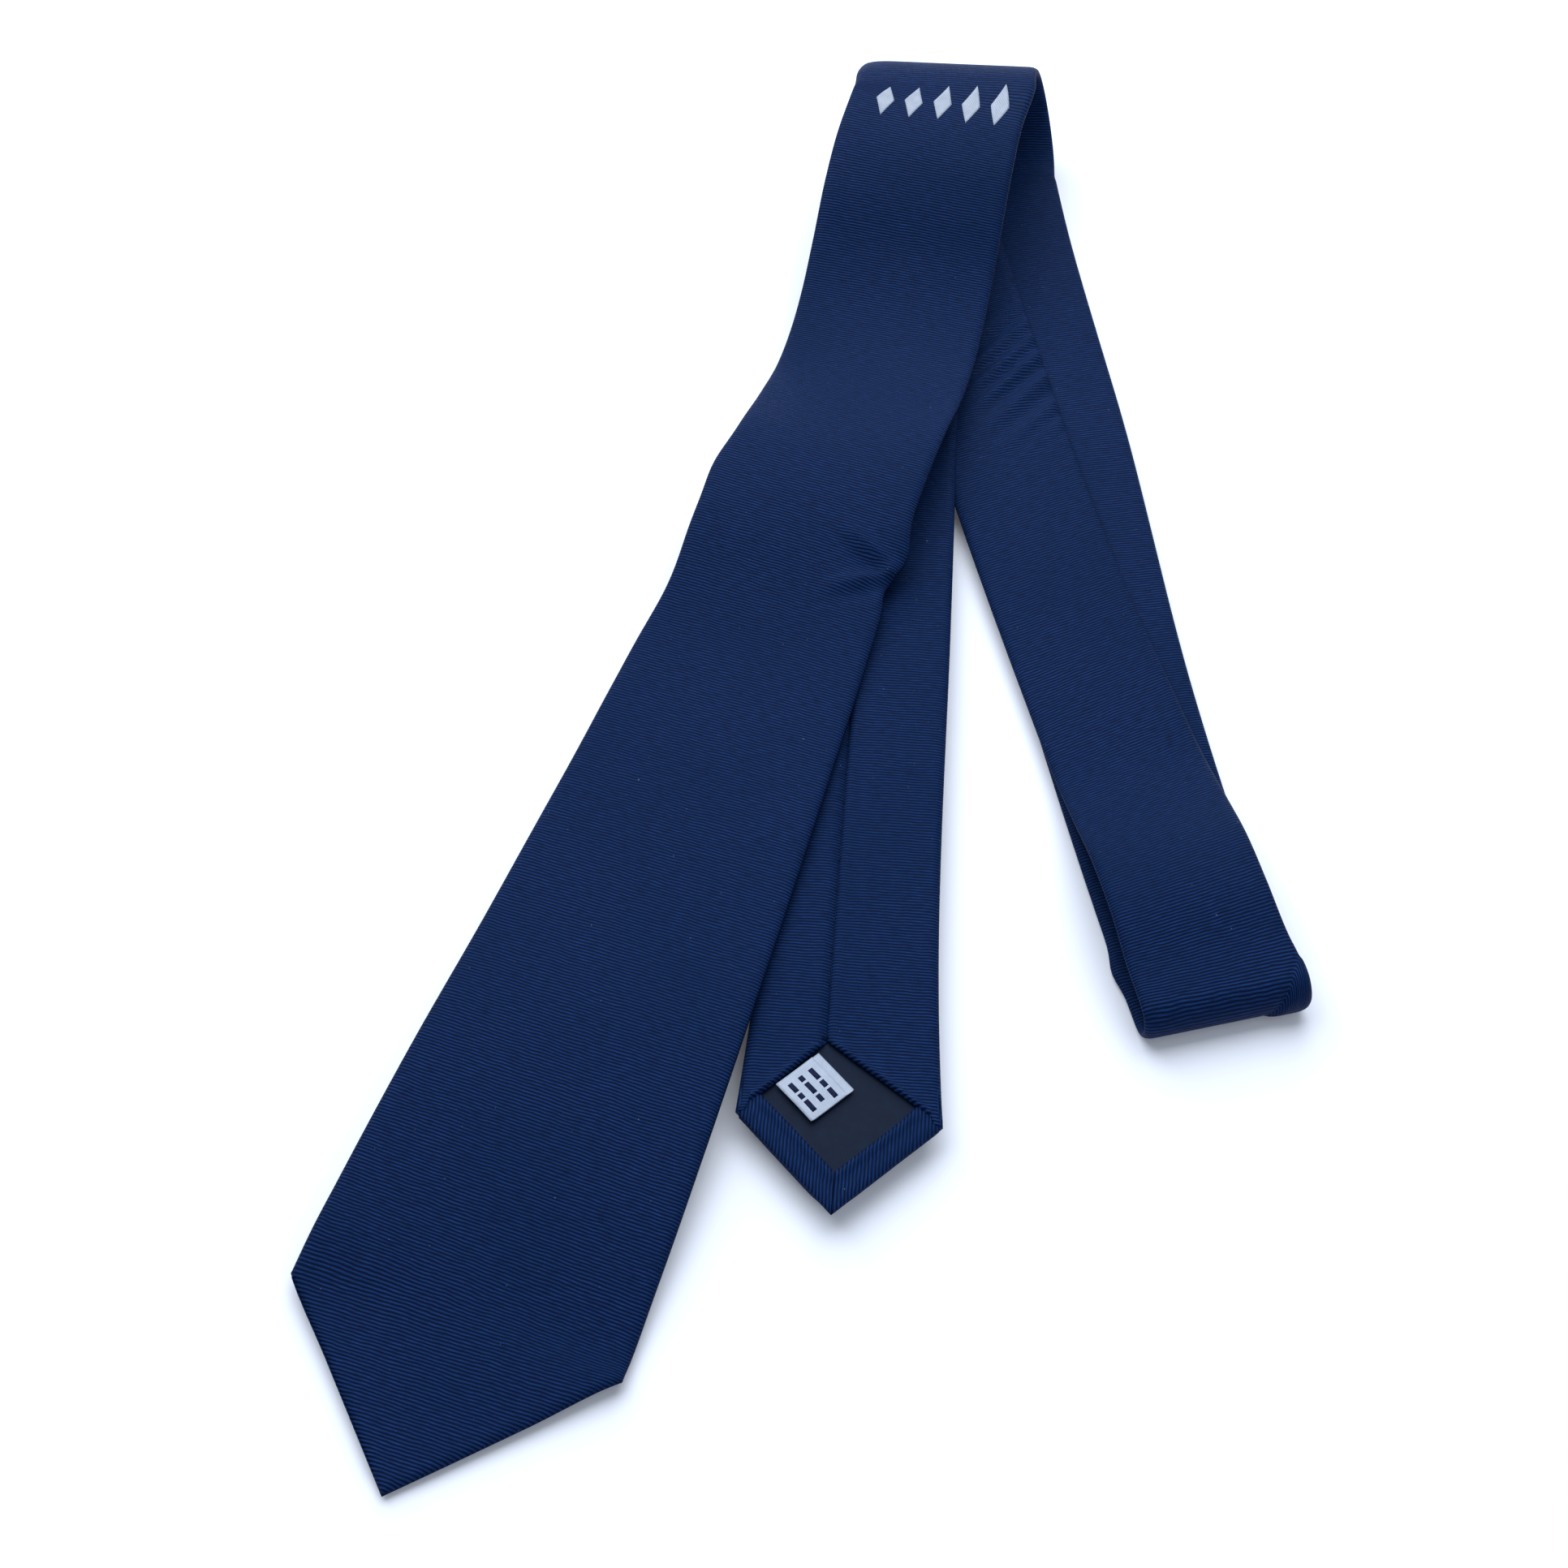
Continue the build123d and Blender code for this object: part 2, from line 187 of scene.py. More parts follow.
def blade_rows(name, head):
    """Rim pairs from a blade's tip to its fold; below the corners they keep the full width."""
    tip, corners = blade_end(name, head)
    points, edges = node_points(name)
    middle = corners.mean(0)
    heading = level(middle - tip)
    half = np.linalg.norm((middle - tip)[:2])
    side = right_of(heading) * half
    rows = []
    for share in POINT_SHARES:
        centre = tip + (middle - tip) * share
        if share:
            centre[2] = rims(cut(points, edges, centre, heading), right_of(heading))[:, 2].mean()
        rows.append(np.array((centre - side, centre + side)))
    rows.append(np.array((middle - side, middle + side)))
    return rows + strand_slices(name, corners, head, CORNER_CLEARANCE)


ARC_STEPS = 12


def fold_rows(start, end, outward):
    """Rim pairs round a half turn, between its two ends."""
    radius = abs(start[:, 2] - end[:, 2]).mean() / 2
    rows = []
    for step in range(1, ARC_STEPS):
        turn = math.pi * step / ARC_STEPS
        middle = (start + end) / 2 + (start - end) / 2 * math.cos(turn)
        rows.append(middle + outward * radius * math.sin(turn))
    return rows


# ---- the tie's path
PATH_STEP = 0.5


def smooth_track(rows, knots, fine):
    """Cubic through the rows (Hermite, with tangents from their neighbours)."""
    slope = np.gradient(rows, knots, axis=0)
    index = np.clip(np.searchsorted(knots, fine, side="right") - 1, 0, len(knots) - 2)
    width = (knots[index + 1] - knots[index])[:, None, None]
    t = ((fine - knots[index])[:, None, None]) / width
    start, end = rows[index], rows[index + 1]
    return (
        start * (2 * t**3 - 3 * t**2 + 1)
        + end * (3 * t**2 - 2 * t**3)
        + slope[index] * width * (t**3 - 2 * t**2 + t)
        + slope[index + 1] * width * (t**3 - t**2)
    )


def strip_rows():
    """All rim pairs from the wide tip to the narrow tip, and the row at which each mark stands."""
    top_low, top_high, top_out = fold_ends("top_fold_shell")
    neck_low, neck_high, neck_out = fold_ends("neck_fold_shell")
    inner_low, inner_high, inner_out = fold_ends("inner_fold_shell")
    sections = [
        ("wide_tip", blade_rows("wide_blade_shell", top_high)),
        ("top_start", [top_high]),
        ("top_bend", fold_rows(top_high, top_low, top_out)),
        ("top_end", [top_low]),
        ("neck_run", strand_slices("neck_run_shell", neck_low, top_low, FOLD_CLEARANCE)[::-1]),
        ("neck_start", [neck_low]),
        ("neck_bend", fold_rows(neck_low, neck_high, neck_out)),
        ("neck_end", [neck_high]),
        ("inner_run", strand_slices("inner_run_shell", neck_high, inner_low, FOLD_CLEARANCE)),
        ("inner_start", [inner_low]),
        ("inner_bend", fold_rows(inner_low, inner_high, inner_out)),
        ("inner_end", [inner_high]),
        ("narrow_blade", blade_rows("narrow_blade_shell", inner_high)[::-1]),
    ]
    rows, marked = [], {}
    for mark, pairs in sections:
        marked[mark] = len(rows)
        rows.extend(pairs)
    marked["wide_corner"] = len(POINT_SHARES)
    marked["narrow_corner"] = len(rows) - 1 - len(POINT_SHARES)
    return np.array(rows), marked


class Path:
    """The tie's strip as closely spaced rim pairs, with marks where blades and folds begin."""

    def __init__(self):
        rows, marked = strip_rows()
        middles = rows.mean(1)
        steps = np.linalg.norm(np.diff(middles, axis=0), axis=1)
        knots = np.concatenate(((0.0,), np.cumsum(steps)))
        self.marks = {mark: knots[index] for mark, index in marked.items()}
        self.length = knots[-1]
        self.s = np.linspace(0, self.length, round(self.length / PATH_STEP))
        track = smooth_track(rows, knots, self.s)
        self.centre = track.mean(1)
        self.across = unit(track[:, 1] - track[:, 0])
        self.half = np.linalg.norm(track[:, 1] - track[:, 0], axis=1) / 2
        self.tangent = unit(np.gradient(self.centre, self.s, axis=0))
        self.normal = unit(np.cross(self.across, self.tangent))

    def sample(self, values, s):
        """A quantity of the path at any s, one component at a time."""
        if values.ndim == 1:
            return np.interp(s, self.s, values)
        parts = [np.interp(s, self.s, values[:, k]) for k in range(3)]
        return np.stack(parts, axis=-1)

    def width_at(self, s):
        """Half-width of the cloth, which shrinks to nothing at both right-angled tips."""
        full = self.sample(self.half, s)
        return np.minimum(full, np.maximum(np.minimum(s, self.length - s), 0.0))


path = Path()
MARKS = path.marks
WIDE_CORNER = MARKS["wide_corner"]
NARROW_CORNER = MARKS["narrow_corner"]
NARROW_POINT = path.length - NARROW_CORNER  # how far the narrow blade's point runs past its corners


# ---- handling marks in the cloth
def bump(value, centre, spread):
    """Smooth rise and fall about a centre."""
    return np.exp(-(((value - centre) / spread) ** 2))


def rise(value, low, high):
    """Smooth step from 0 at low to 1 at high."""
    share = np.clip((value - low) / (high - low), 0.0, 1.0)
    return share * share * (3 - 2 * share)


def line_distance(s, u, start, run):
    """Signed distance to the line that leaves a path place, and how far along it the foot lies."""
    ds, du = run
    length = math.hypot(ds, du)
    along = ((s - start[0]) * ds + (u - start[1]) * du) / length
    off = ((u - start[1]) * ds - (s - start[0]) * du) / length
    return off, along


CREASE_S = MARKS["top_start"] - 178.0  # where the wide blade was kinked by handling
CREASE_RUNS = ((-12.3, -20.2), (11.2, -20.5))  # ways in which its two ridges leave the edge
CREASE_REACH = 24.0
DIMPLE_DEPTH = 1.8
DIMPLE_SPREAD = (6.0, 12.0)  # along the edge and in from it
RIDGE_HEIGHT = 1.6
RIDGE_SPREAD = 1.9
TROUGH_DEPTH = 0.6  # beside each ridge
TROUGH_SPREAD = 2.2
TROUGH_OFFSET = -3.2

WRINKLE_S = MARKS["inner_start"] - 98.0
WRINKLE_HEIGHT = 1.2
WRINKLE_PITCH = 8.5
WRINKLE_SLANT = 0.75
WRINKLE_SPREAD = 22.0

NECK_SEAM_START = (MARKS["neck_start"] + 5.0, 10.5)
NECK_SEAM_RUN = (MARKS["neck_end"] - MARKS["neck_start"] - 2.0, 9.5)
PANEL_STEP = 0.8  # how proud the panel beyond that seam stands
PANEL_DIP = 0.4
CORNER_GRAIN = 2.2  # how strongly the ribs of that panel turn
CORNER_PANEL = 9.0

RIPPLES = ((0.22, 23.0, 1.1, 0.0), (0.14, 9.0, -1.7, 0.6))  # height, length, slant, phase
STACKED_CALM = 0.7  # strands pressed under the others ripple less


def crease(s, u, half):
    """Kink at the wide blade's right edge: a dimple with a ridge running away on each side."""
    along_edge, inwards = DIMPLE_SPREAD
    height = -DIMPLE_DEPTH * bump(s, CREASE_S, along_edge) * bump(half - u, 0.0, inwards)
    for run in CREASE_RUNS:
        off, along = line_distance(s, u, (CREASE_S, half), run)
        fade = rise(along, -3.0, 3.0) * (1 - rise(along, 8.0, CREASE_REACH))
        ridge = RIDGE_HEIGHT * bump(off, 0.0, RIDGE_SPREAD)
        trough = TROUGH_DEPTH * bump(off, TROUGH_OFFSET, TROUGH_SPREAD)
        height = height + (ridge - trough) * fade
    return height


def wrinkles(s, u, half):
    """Slanting wrinkles where the inner run is pressed under the wide blade."""
    phase = (s - WRINKLE_S) - WRINKLE_SLANT * u
    wave = np.cos(2 * math.pi * phase / WRINKLE_PITCH + 1.3 * np.sin(phase / 6.0))
    sharp = 0.5 * wave + 0.5 * np.abs(wave) * wave
    pressed = bump(s, WRINKLE_S, WRINKLE_SPREAD) * rise(u / half, -0.6, 0.3)
    return WRINKLE_HEIGHT * (sharp - 0.6) * pressed


def panel_seam(s, u):
    """Bias seam across the neck fold, whose far side stands a little proud."""
    off, along = line_distance(s, u, NECK_SEAM_START, NECK_SEAM_RUN)
    reach = rise(along, -6.0, -1.0) * (1 - rise(along, 17.0, 24.0))
    proud = rise(off, -0.2, 0.9) * (1 - rise(off, 5.0, 12.0))
    return reach * (PANEL_STEP * proud - PANEL_DIP * bump(off, 0.0, 0.8))


def relief(s, u, h, half):
    """How far the pressed cloth stands off its flat place, towards the tie's front."""
    edge = u / half
    waves = sum(size * np.sin(s / span + slant * edge + phase) for size, span, slant, phase in RIPPLES)
    stacked = rise(s, MARKS["top_start"], MARKS["top_end"])
    ripple = waves * (0.4 + 0.6 * edge**2) * (1 - STACKED_CALM * stacked)
    on_front = rise(h, -HALF_STRAND, HALF_STRAND)
    return ripple + crease(s, u, half) + on_front * (wrinkles(s, u, half) + panel_seam(s, u))


# Kinks in the strip's side edges: side, place, how far outwards, and length.
EDGE_KINKS = (
    (1, CREASE_S + 6.0, 1.9, 7.0),
    (1, CREASE_S - 6.0, -1.3, 5.0),
    (-1, CREASE_S + 18.0, 1.2, 10.0),
    (-1, CREASE_S - 20.0, -1.3, 14.0),
    (-1, MARKS["neck_start"] - 15.0, 1.2, 5.0),
)
KINK_POWER = 6  # keeps the kinks close to the edge


def shove(s, edge):
    """Sideways wander of the edges, next to the crease and where the neck fold begins."""
    move = np.zeros(edge.shape)
    for side, centre, outwards, spread in EDGE_KINKS:
        near_edge = np.maximum(side * edge, 0.0) ** KINK_POWER
        move += side * outwards * near_edge * bump(s, centre, spread)
    return move


CREST_S = MARKS["top_start"] + 14.0
CREST_REACH = 3.6  # the open loop of the top fold is slightly pointed
CREST_SPREAD = 15.0
CORNER_DROP = 2.4  # and its left corner is rounded off
CORNER_POWER = 10
NECK_LIFT = 0.8  # the free side of the neck run lifts where it enters the top fold
NECK_LIFT_S = MARKS["top_end"] + 4.0
NECK_LIFT_SPREAD = 26.0


def sag(s, edge):
    """Move in the row frame that softens the open loop of the top fold."""
    move = np.zeros((*edge.shape, 3))
    corner = np.maximum(-edge, 0.0) ** CORNER_POWER * bump(s, CREST_S - 4.0, 9.0)
    move[..., 1] = CREST_REACH * bump(s, CREST_S, CREST_SPREAD)
    move[..., 2] = -CORNER_DROP * corner
    move[..., 2] += NECK_LIFT * rise(edge, 0.1, 1.0) * bump(s, NECK_LIFT_S, NECK_LIFT_SPREAD)
    return move


def place(s, u, h):
    """Points of the row frame, in millimetres, for path coordinates."""
    s, u, h = np.broadcast_arrays(s, u, h)
    half = path.sample(path.half, s)
    edge = np.clip(u / half, -1.0, 1.0)
    across = path.sample(path.across, s) * (u + shove(s, edge))[..., None]
    lift = path.sample(path.normal, s) * (h + relief(s, u, h, half))[..., None]
    return path.sample(path.centre, s) + across + lift + sag(s, edge)


# ---- meshes
WELD = 0.002


def new_piece(name, vertices, faces, cloth):
    """A mesh object; cloth holds each vertex's place across and along the cloth."""
    mesh = bpy.data.meshes.new(name)
    mesh.from_pydata((np.asarray(vertices) * METRES).tolist(), [], faces)
    layer = mesh.attributes.new("cloth", "FLOAT_VECTOR", "POINT")
    flat = np.zeros((len(vertices), 3), np.float32)
    flat[:, :2] = cloth
    layer.data.foreach_set("vector", flat.ravel())
    mesh.polygons.foreach_set("use_smooth", [True] * len(mesh.polygons))
    outward = bmesh.new()
    outward.from_mesh(mesh)
    bmesh.ops.remove_doubles(outward, verts=outward.verts, dist=WELD * METRES)
    bmesh.ops.recalc_face_normals(outward, faces=outward.faces)
    outward.to_mesh(mesh)
    outward.free()
    mesh.update()
    piece = bpy.data.objects.new(name, mesh)
    bpy.context.scene.collection.objects.link(piece)
    return piece


def grid_faces(index):
    """Quads over a grid of vertex numbers."""
    quads = np.stack((index[:-1, :-1], index[:-1, 1:], index[1:, 1:], index[1:, :-1]), axis=-1)
    return quads.reshape(-1, 4).tolist()


def sheet(outside, inside, cloth, open_ends=(False, False)):
    """Points, faces and cloth places of a thin sheet between two grids.

    An end that meets the next piece of the same strip is left open, so that the shading runs on.
    """
    rows, columns = outside.shape[:2]
    outer = np.arange(rows * columns).reshape(rows, columns)
    inner = outer + rows * columns
    faces = grid_faces(outer) + grid_faces(inner)
    rims_shut = [(outer[:, 0], inner[:, 0]), (outer[:, -1], inner[:, -1])]
    for row, is_open in ((0, open_ends[0]), (-1, open_ends[1])):
        if not is_open:
            rims_shut.append((outer[row], inner[row]))
    for first, second in rims_shut:
        faces += grid_faces(np.stack((first, second), axis=1))
    points = np.concatenate((outside.reshape(-1, 3), inside.reshape(-1, 3)))
    return points, faces, np.tile(cloth.reshape(-1, 2), (2, 1))


def piece_of(name, parts):
    """One piece out of one or more sheets or threads."""
    points, faces, places, offset = [], [], [], 0
    for some_points, some_faces, some_places in parts:
        points.append(some_points)
        places.append(some_places)
        faces += [[corner + offset for corner in face] for face in some_faces]
        offset += len(some_points)
    return new_piece(name, np.concatenate(points), faces, np.concatenate(places))


THREAD_SIDES = 6
UPRIGHT_GUARD = 1e-6  # gives a side direction even where a thread runs straight up


def thread(points, radius):
    """A thin closed tube along points."""
    points = np.asarray(points, float)
    forward = unit(np.gradient(points, axis=0))
    side = unit(np.cross(forward, UP) + UPRIGHT_GUARD)
    upward = np.cross(side, forward)
    angles = np.linspace(0, 2 * math.pi, THREAD_SIDES, endpoint=False)
    ring = side[:, None] * np.cos(angles)[:, None] + upward[:, None] * np.sin(angles)[:, None]
    tube = points[:, None] + ring * radius
    index = np.arange(tube.shape[0] * THREAD_SIDES).reshape(-1, THREAD_SIDES)
    closed = np.concatenate((index, index[:, :1]), axis=1)
    faces = grid_faces(closed) + [index[0].tolist(), index[-1].tolist()]
    places = np.zeros((index.size, 2))
    places[:, 1] = np.repeat(np.arange(len(points)), THREAD_SIDES)
    return tube.reshape(-1, 3), faces, places


# ---- layers of the tie
CLOTH = 0.32  # thickness of the silk
FRONT = HALF_STRAND  # outer face of the front and of the back flaps
HEM_TOP = FRONT - CLOTH - 0.01  # the turned hem lies under the flaps
LINING_TOP = 0.0  # the lining's outer face lies half-way through the strand
LINING = 0.15  # thickness
PADDING = (LINING - LINING_TOP + 0.1, FRONT - CLOTH - 0.35)  # clear of the lining and the silk
PADDING_INSET = 2.2  # from the folded side edges
TIP_CLEAR = 4.0  # between the padding and a blade's point
ROLL_REACH = 2.6  # the folded side edges are softer than a half circle

WIDE_APEX = 40.0
WIDE_HEM = 9.0
NARROW_APEX = 20.5
NARROW_HEM = 7.5
NARROW_SEAM = -4.0
NECK_SEAM = 2.0

SEAM_LAP = 0.35  # the left flap dips and runs a little way under the right one
SEAM_DIP = 1.1
SEAM_SPREAD = 1.5
FRONT_COLUMNS = 37
FLAP_COLUMNS = 12
FLAP_SPACING = 1.6  # power that brings the columns closer together at the free edge
ROLL_COLUMNS = 9
STRAND_ROW = 2.0
FINE_ROW = 0.8


def seam_at(s):
    """Where the back seam runs across the strand."""
    knots = (MARKS["top_start"], MARKS["top_end"], MARKS["inner_start"], MARKS["inner_end"])
    return np.interp(s, knots, (0.0, NECK_SEAM, NECK_SEAM, NARROW_SEAM))


def above_corner(s):
    """Distance up a blade from the line through its corners, negative in the point."""
    return np.where(s < path.length / 2, s - WIDE_CORNER, NARROW_CORNER - s)


def flap_edges(s):
    """The free edges of the left and right back flaps: the seam, then the V down to the corners."""
    seam = seam_at(s)
    apex = np.where(s < path.length / 2, WIDE_APEX, NARROW_APEX)
    half = path.width_at(s)
    spread = np.clip(1 - above_corner(s) / apex, 0.0, 1.0)
    left = (seam + SEAM_LAP) * (1 - spread) - half * spread
    right = seam * (1 - spread) + half * spread
    return left, right


def roll(half, depth, reach, in_point):
    """Across and height of the folded right edge, from the back round to the front.

    In a blade's point the edge runs at 45 degrees, and the back half of the roll belongs to the hem.
    """
    turns = np.linspace(in_point * math.pi / 2, math.pi, ROLL_COLUMNS, axis=-1)
    wide = (reach * (1 + (math.sqrt(2) - 1) * in_point))[:, None]
    across = np.maximum(half[:, None] - wide * (1 - np.sin(turns)), 0.0)
    inward = np.clip((half[:, None] - across) / wide, 0.0, 1.0)
    height = depth * np.sqrt(np.clip(1 - (1 - inward) ** 2, 0.0, 1.0))
    return across, height * np.where(turns < math.pi / 2, -1.0, 1.0)


FLAP_ROUND = 0.45  # the flaps' free edges are folded under
SEAM_PUFF = 0.3  # and stand proud beside the fold: this much along the seam
V_PUFF = 0.7  # and this much along the V
WIDE_PUFF = 0.3  # share of it on the wide blade, whose flaps are pressed against what lies below
PUFF_PLACE = 1.3
PUFF_SPREAD = 1.1


def free_edge(distance, puff):
    """Height profile of a folded edge, by the distance in from it."""
    folded = FLAP_ROUND * bump(distance, 0.0, FLAP_ROUND)
    return folded - puff * bump(distance, PUFF_PLACE, PUFF_SPREAD)


def flap_heights(s, flat, left_edge, left_flap, right_edge, right_flap):
    """How far the columns of both back flaps lie in from the strand's back face.

    Where the flaps meet at the seam, the left one dips under the right one.
    """
    in_left, in_right = left_edge - left_flap, right_flap - right_edge
    room = rise(flat, 2.0, 6.0)
    parted = rise(flat - right_edge, 0.0, 3.0) * np.where(right_edge - left_edge > 1.0, 1.0, 0.0)
    on_wide = np.interp(s, (MARKS["top_start"], MARKS["top_start"] + 1), (WIDE_PUFF, 0.0))
    share = np.where(s > MARKS["inner_end"], 1.0, on_wide)
    puff = share[:, None] * (SEAM_PUFF + (V_PUFF - SEAM_PUFF) * parted)
    sunk = SEAM_DIP * bump(in_left, 0.0, SEAM_SPREAD)
    left = np.where(parted > 0, free_edge(in_left, puff), sunk)
    return room * left, room * free_edge(in_right, puff)


def wrap(s, inset):
    """One face of the wrapped silk: across and height for each row and column."""
    in_point = 1 - rise(above_corner(s), -1.0, 1.0)
    half = np.maximum(path.width_at(s) - inset, 0.0)
    depth = FRONT - inset
    across, height = roll(half, depth, ROLL_REACH - inset, in_point)
    left_edge, right_edge = flap_edges(s)
    flat = across[:, :1]
    left_edge = np.maximum(left_edge, -flat[:, 0])[:, None]
    right_edge = np.minimum(right_edge, flat[:, 0])[:, None]
    share = np.linspace(0, 1, FLAP_COLUMNS)[None, :-1] ** FLAP_SPACING
    left_flap = left_edge + (-flat - left_edge) * share
    right_flap = right_edge + (flat - right_edge) * share
    lift = flap_heights(s, flat, left_edge, left_flap, right_edge, right_flap)
    front = across[:, -1:] * np.linspace(-1, 1, FRONT_COLUMNS)[None, 1:-1]
    front_height = np.broadcast_to(height[:, -1:], front.shape)
    left_back, right_back = height[:, :1] + lift[0], height[:, :1] + lift[1]
    u = (left_flap, -across, front, across[:, ::-1], right_flap[:, ::-1])
    h = (left_back, height, front_height, height[:, ::-1], right_back[:, ::-1])
    return np.concatenate(u, axis=1), np.concatenate(h, axis=1)


FINE_ZONES = (
    (-1.0, WIDE_CORNER + WIDE_APEX + 4),
    (MARKS["top_start"] - 6, MARKS["top_end"] + 6),
    (MARKS["neck_start"] - 8, MARKS["neck_end"] + 30),
    (MARKS["inner_start"] - 4, MARKS["inner_end"] + 4),
    (NARROW_CORNER - NARROW_APEX - 4, path.length + 1),
)


def row_positions(start, end):
    """Places for cross-sections from start to end, closer together at folds and blade ends."""
    knots = [start]
    while knots[-1] < end:
        here = knots[-1]
        fine = any(low <= here < high for low, high in FINE_ZONES)
        knots.append(here + (FINE_ROW if fine else STRAND_ROW))
    if end - knots[-2] < FINE_ROW / 2:
        knots.pop()
    knots[-1] = end
    return np.array(knots)


SKEW_KNOTS = (MARKS["neck_end"], MARKS["neck_end"] + 50, MARKS["neck_end"] + 150, MARKS["inner_start"])
SKEWS = (0.0, -0.24, -0.16, 0.0)


def rib_skew(s):
    """The ribs of the inner run slant, as its panel has stretched; they follow s + skew * u."""
    return np.interp(s, SKEW_KNOTS, SKEWS)


def cloth_places(s, u, h):
    """Place across and along the cloth; across is measured round the section."""
    steps = np.hypot(np.diff(u, axis=1), np.diff(h, axis=1))
    across = np.concatenate((np.zeros((len(s), 1)), np.cumsum(steps, axis=1)), axis=1)
    across -= across.mean(1, keepdims=True)
    along = s[:, None] + rib_skew(s)[:, None] * u
    past_seam, _ = line_distance(s[:, None], u, NECK_SEAM_START, NECK_SEAM_RUN)
    along = along + CORNER_GRAIN * np.clip(past_seam, 0.0, CORNER_PANEL) * (h > 0)
    return np.stack((across, along), axis=-1)


def wrapped_silk(start, end):
    """Sheet of silk wrapped round the strand, left open where the strip goes on."""
    s = row_positions(start, end)
    u, h = wrap(s, 0.0)
    u_in, h_in = wrap(s, CLOTH)
    outside = place(s[:, None], u, h)
    inside = place(s[:, None], u_in, h_in)
    ends = (start > 0.0, end < path.length)
    return sheet(outside, inside, cloth_places(s, u, h), ends)


HEM_SKIN = 0.04
HEM_ROWS = 50
HEM_COLUMNS = 14
HEM_SPACING = 1.4  # power that brings the columns closer together at the folded edge
HEM_TUCK = 0.85  # how far the hem runs on under the flap, as a share of the distance in
HEM_GAP = 0.12  # between the two hems at the mitre
HEM_ROUND = 0.35  # its free edge is turned under
HEM_PUFF = 0.55  # and it stands proud beside that edge


def hem(corner_s, down, half, width, side):
    """The turned hem along one pointed edge; down is the way s runs towards the tip."""
    inward = width * np.linspace(0, 1, HEM_COLUMNS)[None, :] ** HEM_SPACING
    start = -HEM_TUCK * inward
    end = half * math.sqrt(2) - inward - HEM_GAP
    along = start + (end - start) * np.linspace(0, 1, HEM_ROWS)[:, None]
    inward = np.broadcast_to(inward, along.shape)
    y = (inward - along) / math.sqrt(2)
    s = corner_s - down * y
    taper = np.minimum(path.sample(path.half, s) / half, 1.0)
    x = side * (half * taper - (along + inward) / math.sqrt(2))
    share = np.clip(1 - inward / ROLL_REACH, 0.0, 1.0)
    shape = np.sqrt(1 - share**2)
    shown = rise(along, 0.5, 4.0)
    free = HEM_ROUND * bump(inward, width, 0.3)
    free = free - HEM_PUFF * bump(inward, width - 1.2, 1.0) * shown
    outside = place(s, x, -(HEM_TOP + HEM_SKIN) * shape + free)
    inside = place(s, x, -(HEM_TOP - CLOTH) * shape)
    cloth = np.stack((s, x), axis=-1)
    return sheet(outside, inside, cloth)


LINING_REACH = 22.0  # past the top of the V
LINING_TIP = 3.0  # between the lining and the blade's point
LINING_INSET = 1.8


def lining(corner_s, down, apex, half):
    """Tipping: a thin sheet under the flaps and hem that shows through the V."""
    y = np.linspace(apex + LINING_REACH, -half + LINING_TIP, 60)
    s = corner_s - down * y
    wide = np.maximum(path.width_at(s) - LINING_INSET, 0.3)[:, None]
    u = wide * np.linspace(-1, 1, 15)[None, :]
    outside = place(s[:, None], u, -LINING_TOP)
    inside = place(s[:, None], u, -LINING_TOP + LINING)
    cloth = np.stack((u, np.broadcast_to(s[:, None], u.shape)), axis=-1)
    return sheet(outside, inside, cloth)


def padding(start, end):
    """Interlining between two places on the path."""
    s = row_positions(max(start, TIP_CLEAR), min(end, path.length - TIP_CLEAR))
    wide = np.maximum(path.width_at(s) - PADDING_INSET, 0.2)[:, None]
    u = wide * np.linspace(-1, 1, 25)[None, :]
    low, high = PADDING
    outside = place(s[:, None], u, high)
    inside = place(s[:, None], u, low)
    cloth = np.stack((u, np.broadcast_to(s[:, None], u.shape)), axis=-1)
    return sheet(outside, inside, cloth)


# ---- materials
def srgb(red, green, blue):
    """Linear colour from 0-255 screen values."""
    linear = [((value / 255 + 0.055) / 1.055) ** 2.4 for value in (red, green, blue)]
    return (*linear, 1.0)


MIX_INPUTS = (0, 6, 7)  # factor and the two colours, among the mix node's many sockets
MIX_OUTPUT = 2


